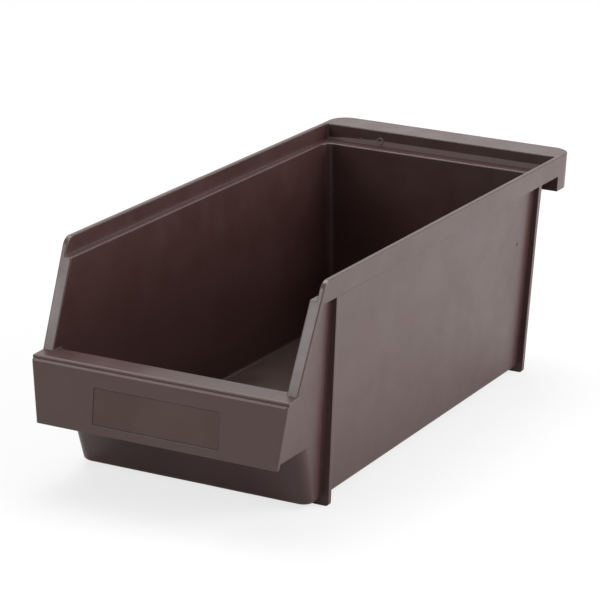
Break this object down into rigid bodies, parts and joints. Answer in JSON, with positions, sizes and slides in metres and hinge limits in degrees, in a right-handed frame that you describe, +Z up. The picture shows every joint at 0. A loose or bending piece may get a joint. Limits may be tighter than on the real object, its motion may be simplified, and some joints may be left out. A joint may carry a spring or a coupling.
{
  "type": "cutlery organizer bin",
  "caption": "Open-fronted moulded bin for cutlery: tapered tub, rim with inner ledge, slanted mouth, grip apron with blank label plate, finned feet and a rear hanging rail.",
  "frame": {"origin": "middle of the bounding box on the plane that the four feet stand on", "axes": "+Z up, +Y towards the hanging rail at the back, -Y towards the open mouth and apron, X across the width"},
  "size_m": [0.135, 0.305, 0.1097],
  "materials": {
    "bin_plastic": "fine moulded grain with a satin sheen",
    "label_plastic": "dull, slightly browner than the bin"
  },
  "bodies": {
    "root": {"bin_body": "bin_plastic", "label_plate": "label_plastic"}
  },
  "joints": []
}
